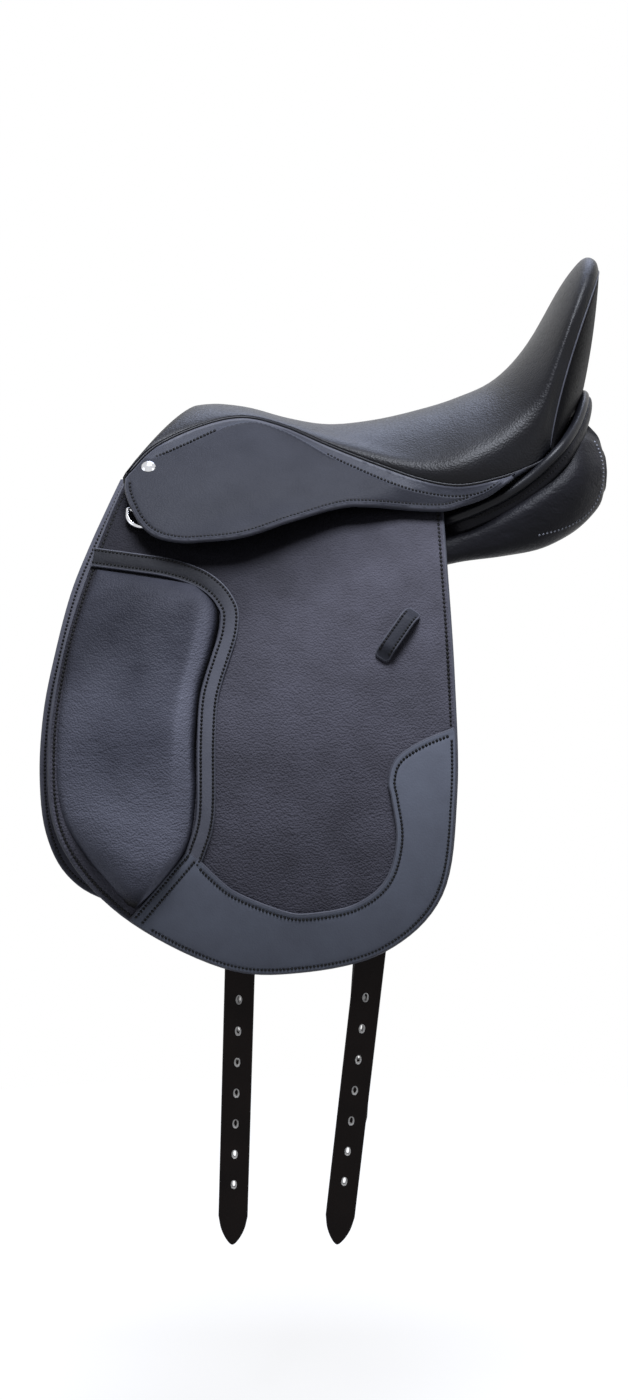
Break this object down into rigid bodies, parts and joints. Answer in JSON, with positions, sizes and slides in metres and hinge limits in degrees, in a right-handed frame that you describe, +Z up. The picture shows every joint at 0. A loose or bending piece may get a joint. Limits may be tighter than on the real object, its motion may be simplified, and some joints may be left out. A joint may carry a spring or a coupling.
{
  "type": "dressage saddle",
  "caption": "Black leather dressage saddle: deep seat, skirts and long flaps that lift, thigh blocks, panels, punched girth straps, stirrup bars with catches and dee rings.",
  "frame": {"origin": "under the deepest point of the seat, in the middle plane, at the height where the panels bear", "axes": "+X towards the cantle, +Y towards the off side, +Z up"},
  "size_m": [0.4812, 0.5004, 0.8514],
  "materials": {
    "black_leather": "grained, dull sheen",
    "smooth_leather": "smooth, satin",
    "strap_leather": "waxed strap leather",
    "panel_leather": "soft leather over wool flock",
    "foam": "foam",
    "webbing": "woven",
    "moulded_tree": "moulded",
    "steel": "plain",
    "bright_metal": "polished"
  },
  "bodies": {
    "saddle": {"tree": "moulded_tree", "head_plate": "steel", "front_girth_web": "webbing", "rear_girth_web": "webbing", "seat_foam": "foam", "seat_cover": "black_leather", "cantle_facing": "black_leather", "cantle_roll": "black_leather", "near_seat_welt": "black_leather", "off_seat_welt": "black_leather", "near_skirt_top": "black_leather", "off_skirt_top": "black_leather", "near_flap_top": "black_leather", "off_flap_top": "black_leather", "near_sweat_flap": "black_leather", "off_sweat_flap": "black_leather", "near_panel": "panel_leather", "off_panel": "panel_leather", "near_stirrup_bar": "steel", "off_stirrup_bar": "steel", "bar_rivets": "steel", "catch_pins": "steel", "dee_nails": "steel", "near_stud": "bright_metal", "off_stud": "bright_metal"},
    "near_flap": {"near_flap": "black_leather", "near_thigh_block": "black_leather", "near_block_strip": "black_leather", "near_wear_patch": "smooth_leather", "near_leather_keeper": "black_leather"},
    "near_skirt": {"near_skirt": "black_leather"},
    "near_front_strap": {"near_front_strap": "strap_leather"},
    "near_rear_strap": {"near_rear_strap": "strap_leather"},
    "near_dee": {"near_dee": "bright_metal", "near_dee_chape": "black_leather"},
    "near_bar_catch": {"near_bar_catch": "steel"},
    "off_flap": {"off_flap": "black_leather", "off_thigh_block": "black_leather", "off_block_strip": "black_leather", "off_wear_patch": "smooth_leather", "off_leather_keeper": "black_leather"},
    "off_skirt": {"off_skirt": "black_leather"},
    "off_front_strap": {"off_front_strap": "strap_leather"},
    "off_rear_strap": {"off_rear_strap": "strap_leather"},
    "off_dee": {"off_dee": "bright_metal", "off_dee_chape": "black_leather"},
    "off_bar_catch": {"off_bar_catch": "steel"}
  },
  "joints": [
    {"name": "near_flap_lift", "type": "hinge", "parent": "saddle", "child": "near_flap", "pos_m": [0, -0.15134, 0.007], "axis": [-1, 0, 0], "range_deg": [0, 48]},
    {"name": "near_skirt_lift", "type": "hinge", "parent": "saddle", "child": "near_skirt", "pos_m": [-0.0815, -0.13877, 0.0535], "axis": [-0.9929, 0.0774, 0.0903], "range_deg": [0, 70]},
    {"name": "near_front_strap_swing", "type": "hinge", "parent": "saddle", "child": "near_front_strap", "pos_m": [-0.0615, -0.11163, 0.046], "axis": [0, 1, 0], "range_deg": [-2, 6], "stiffness_Nm_per_rad": 1.5},
    {"name": "near_rear_strap_swing", "type": "hinge", "parent": "saddle", "child": "near_rear_strap", "pos_m": [0.0715, -0.11163, 0.046], "axis": [0, 1, 0], "range_deg": [-6, 2], "stiffness_Nm_per_rad": 1.5},
    {"name": "near_dee_swing", "type": "hinge", "parent": "saddle", "child": "near_dee", "pos_m": [-0.158, -0.1177, 0.053], "axis": [0, 0.7393, -0.6733], "range_deg": [-25, 60]},
    {"name": "near_bar_catch_turn", "type": "hinge", "parent": "saddle", "child": "near_bar_catch", "pos_m": [-0.042, -0.13242, 0.036], "axis": [0, -0.7721, 0.6356], "range_deg": [0, 80]},
    {"name": "off_flap_lift", "type": "hinge", "parent": "saddle", "child": "off_flap", "pos_m": [0, 0.15134, 0.007], "axis": [1, 0, 0], "range_deg": [0, 48]},
    {"name": "off_skirt_lift", "type": "hinge", "parent": "saddle", "child": "off_skirt", "pos_m": [-0.0815, 0.13877, 0.0535], "axis": [0.9929, 0.0774, -0.0903], "range_deg": [0, 70]},
    {"name": "off_front_strap_swing", "type": "hinge", "parent": "saddle", "child": "off_front_strap", "pos_m": [-0.0615, 0.11163, 0.046], "axis": [0, 1, 0], "range_deg": [-2, 6], "stiffness_Nm_per_rad": 1.5},
    {"name": "off_rear_strap_swing", "type": "hinge", "parent": "saddle", "child": "off_rear_strap", "pos_m": [0.0715, 0.11163, 0.046], "axis": [0, 1, 0], "range_deg": [-6, 2], "stiffness_Nm_per_rad": 1.5},
    {"name": "off_dee_swing", "type": "hinge", "parent": "saddle", "child": "off_dee", "pos_m": [-0.158, 0.1177, 0.053], "axis": [0, 0.7393, 0.6733], "range_deg": [-25, 60]},
    {"name": "off_bar_catch_turn", "type": "hinge", "parent": "saddle", "child": "off_bar_catch", "pos_m": [-0.042, 0.13242, 0.036], "axis": [0, -0.7721, -0.6356], "range_deg": [0, 80]}
  ]
}
